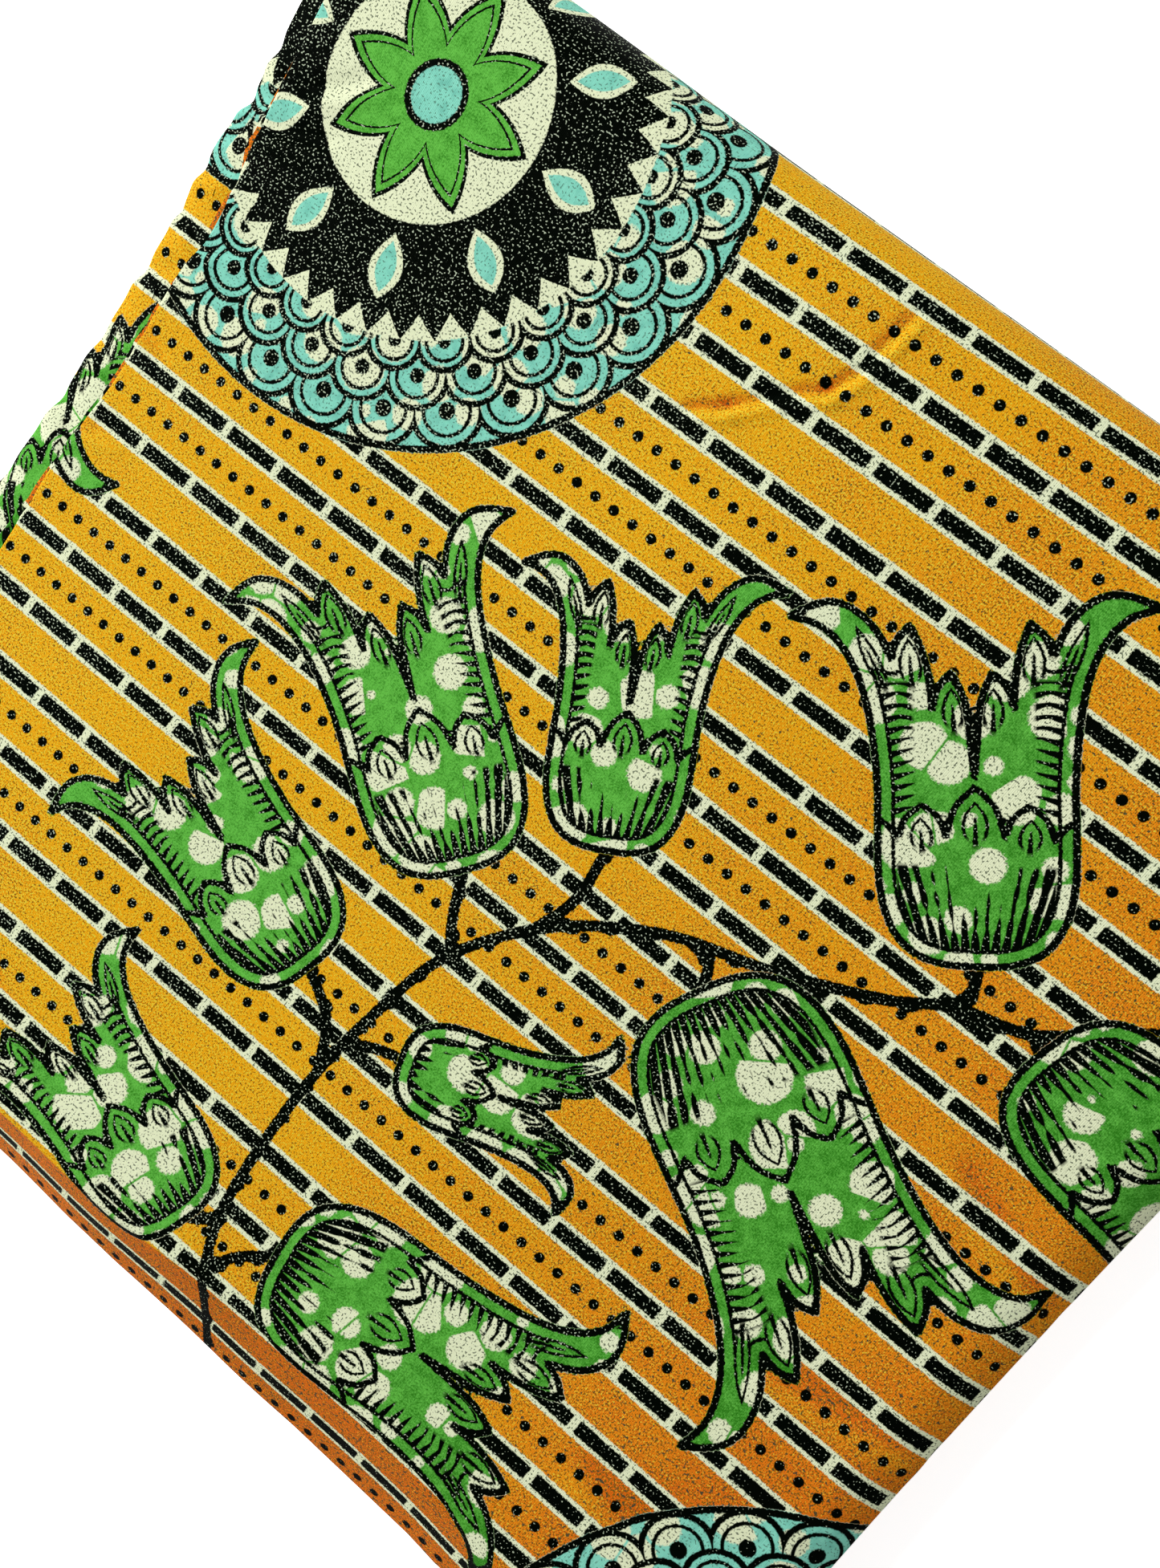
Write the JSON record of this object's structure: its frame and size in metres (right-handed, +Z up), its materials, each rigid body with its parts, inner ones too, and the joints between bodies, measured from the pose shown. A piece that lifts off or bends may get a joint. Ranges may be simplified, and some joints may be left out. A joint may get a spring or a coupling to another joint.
{
  "type": "folded wax print cloth",
  "caption": "Length of printed cotton folded in four and wound into a flat square bundle that lies on a surface.",
  "frame": {"origin": "under the middle of the bundle, on the surface that it lies on", "axes": "+Z up, X along the printed stripes, Y across them from the creased side to the rolled side"},
  "size_m": [0.2994, 0.2898, 0.0325],
  "materials": {
    "outer_turn": "glazed printed cotton, orange ground",
    "second_turn": "glazed printed cotton, orange ground",
    "inner_turns": "folded edges of printed cotton"
  },
  "bodies": {
    "root": {"outer_turn": "outer_turn", "second_turn": "second_turn", "inner_turns": "inner_turns"}
  },
  "joints": []
}
